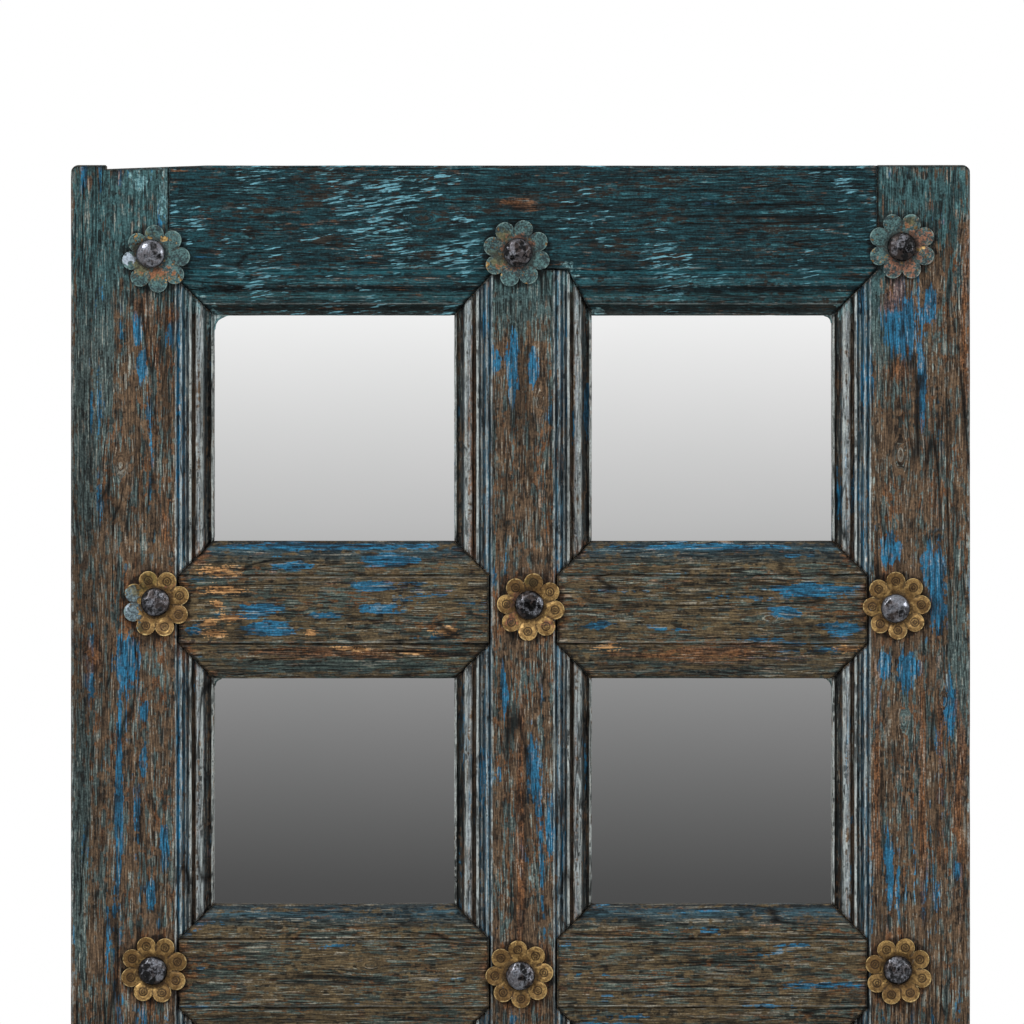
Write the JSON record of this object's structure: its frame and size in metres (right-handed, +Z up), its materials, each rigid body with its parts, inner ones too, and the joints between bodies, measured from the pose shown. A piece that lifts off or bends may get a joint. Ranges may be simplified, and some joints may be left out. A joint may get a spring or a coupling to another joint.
{
  "type": "shutter mirror",
  "caption": "Wall mirror made from a weathered painted shutter leaf: small mirror panes in a moulded wooden grid, with flower studs and hanging rings.",
  "frame": {"origin": "midway between the pivots of the two hanging rings, in the plane of the back board's outer face", "axes": "+Z up, +X to the right as seen from the front, +Y from the front towards the wall: the mirror faces -Y"},
  "size_m": [0.54, 0.0524, 0.754],
  "materials": {
    "stile_paint": "weathered raised grain with layers of bright blue, teal and grey paint worn through to brown wood",
    "top_rail_paint": "dark teal paint over near-black grain with light turquoise scuffs",
    "rail_paint": "brown weathered wood with blue paint remnants and chipped raw wood",
    "mirror_glass": "clear silvered glass, polished",
    "packing_card": "plain grey-brown board",
    "back_ply": "thin plywood, sanded, unfinished",
    "aged_brass": "thin stamped brass, dull and stained",
    "painted_brass": "thin stamped brass under old green-grey paint, rust-stained",
    "forged_iron": "forged iron, hammered and rubbed dark",
    "zinc_steel": "zinc-plated steel"
  },
  "bodies": {
    "frame": {"left_stile": "stile_paint", "right_stile": "stile_paint", "mullion": "stile_paint", "top_rail": "top_rail_paint", "bottom_rail": "rail_paint", "upper_rail_left": "rail_paint", "upper_rail_right": "rail_paint", "lower_rail_left": "rail_paint", "lower_rail_right": "rail_paint", "mirror_top_left": "mirror_glass", "packing_top_left": "packing_card", "mirror_top_right": "mirror_glass", "packing_top_right": "packing_card", "mirror_middle_left": "mirror_glass", "packing_middle_left": "packing_card", "mirror_middle_right": "mirror_glass", "packing_middle_right": "packing_card", "mirror_bottom_left": "mirror_glass", "packing_bottom_left": "packing_card", "mirror_bottom_right": "mirror_glass", "packing_bottom_right": "packing_card", "back_board": "back_ply", "flower_top_left": "painted_brass", "nail_top_left": "forged_iron", "flower_top_centre": "painted_brass", "nail_top_centre": "forged_iron", "flower_top_right": "painted_brass", "nail_top_right": "forged_iron", "flower_upper_left": "aged_brass", "nail_upper_left": "forged_iron", "flower_upper_centre": "aged_brass", "nail_upper_centre": "forged_iron", "flower_upper_right": "aged_brass", "nail_upper_right": "forged_iron", "flower_lower_left": "aged_brass", "nail_lower_left": "forged_iron", "flower_lower_centre": "aged_brass", "nail_lower_centre": "forged_iron", "flower_lower_right": "aged_brass", "nail_lower_right": "forged_iron", "flower_bottom_left": "aged_brass", "nail_bottom_left": "forged_iron", "flower_bottom_centre": "aged_brass", "nail_bottom_centre": "forged_iron", "flower_bottom_right": "aged_brass", "nail_bottom_right": "forged_iron", "hanger_strap_left": "zinc_steel", "strap_screw_left_upper": "zinc_steel", "strap_screw_left_lower": "zinc_steel", "board_screw_left_top": "zinc_steel", "board_screw_left_middle": "zinc_steel", "board_screw_left_bottom": "zinc_steel", "hanger_strap_right": "zinc_steel", "strap_screw_right_upper": "zinc_steel", "strap_screw_right_lower": "zinc_steel", "board_screw_right_top": "zinc_steel", "board_screw_right_middle": "zinc_steel", "board_screw_right_bottom": "zinc_steel"},
    "left_ring": {"hanger_ring_left": "zinc_steel"},
    "right_ring": {"hanger_ring_right": "zinc_steel"}
  },
  "joints": [
    {"name": "left_ring_swing", "type": "hinge", "parent": "frame", "child": "left_ring", "pos_m": [-0.226, 0.0036, 0], "axis": [1, 0, 0], "range_deg": [0, 185]},
    {"name": "right_ring_swing", "type": "hinge", "parent": "frame", "child": "right_ring", "pos_m": [0.226, 0.0036, 0], "axis": [1, 0, 0], "range_deg": [0, 185]}
  ]
}
